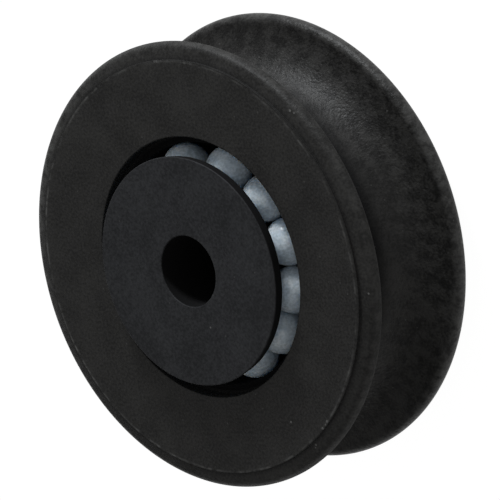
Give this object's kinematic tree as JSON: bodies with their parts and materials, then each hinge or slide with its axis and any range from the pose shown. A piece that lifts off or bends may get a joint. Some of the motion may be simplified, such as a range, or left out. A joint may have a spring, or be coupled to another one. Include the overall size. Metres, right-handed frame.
{
  "type": "ball bearing rope sheave",
  "caption": "Round rope sheave with a full-radius groove, turning on rows of loose balls around a flanged hub with a plain bore.",
  "frame": {"origin": "on the bore's axis, in the middle plane of the rope groove", "axes": "+Z along the bore's axis, out of the hub face that the picture shows; the part lies on the hub face at -Z"},
  "size_m": [0.06, 0.06, 0.0242],
  "materials": {
    "wheel_plastic": "matte, slightly grainy black",
    "hub_plastic": "matte, smooth black",
    "ball_plastic": "milky, faintly blue plastic"
  },
  "bodies": {
    "hub": {"hub_front": "hub_plastic", "hub_back": "hub_plastic"},
    "wheel": {"wheel": "wheel_plastic"},
    "balls_front": {"ball_front_01": "ball_plastic", "ball_front_02": "ball_plastic", "ball_front_03": "ball_plastic", "ball_front_04": "ball_plastic", "ball_front_05": "ball_plastic", "ball_front_06": "ball_plastic", "ball_front_07": "ball_plastic", "ball_front_08": "ball_plastic", "ball_front_09": "ball_plastic", "ball_front_10": "ball_plastic", "ball_front_11": "ball_plastic", "ball_front_12": "ball_plastic"},
    "balls_back": {"ball_back_01": "ball_plastic", "ball_back_02": "ball_plastic", "ball_back_03": "ball_plastic", "ball_back_04": "ball_plastic", "ball_back_05": "ball_plastic", "ball_back_06": "ball_plastic", "ball_back_07": "ball_plastic", "ball_back_08": "ball_plastic", "ball_back_09": "ball_plastic", "ball_back_10": "ball_plastic", "ball_back_11": "ball_plastic", "ball_back_12": "ball_plastic"}
  },
  "joints": [
    {"name": "wheel_spin", "type": "hinge", "parent": "hub", "child": "wheel", "pos_m": [0, 0, 0], "axis": [0, 0, 1], "continuous": true},
    {"name": "front_balls_orbit", "type": "hinge", "parent": "hub", "child": "balls_front", "pos_m": [0, 0, 0.0059], "axis": [0, 0, 1], "continuous": true},
    {"name": "back_balls_orbit", "type": "hinge", "parent": "hub", "child": "balls_back", "pos_m": [0, 0, -0.0059], "axis": [0, 0, 1], "continuous": true}
  ],
  "couplings": [
    {"joint": "front_balls_orbit", "follows": "wheel_spin", "ratio": 0.5857},
    {"joint": "back_balls_orbit", "follows": "wheel_spin", "ratio": 0.5857}
  ]
}
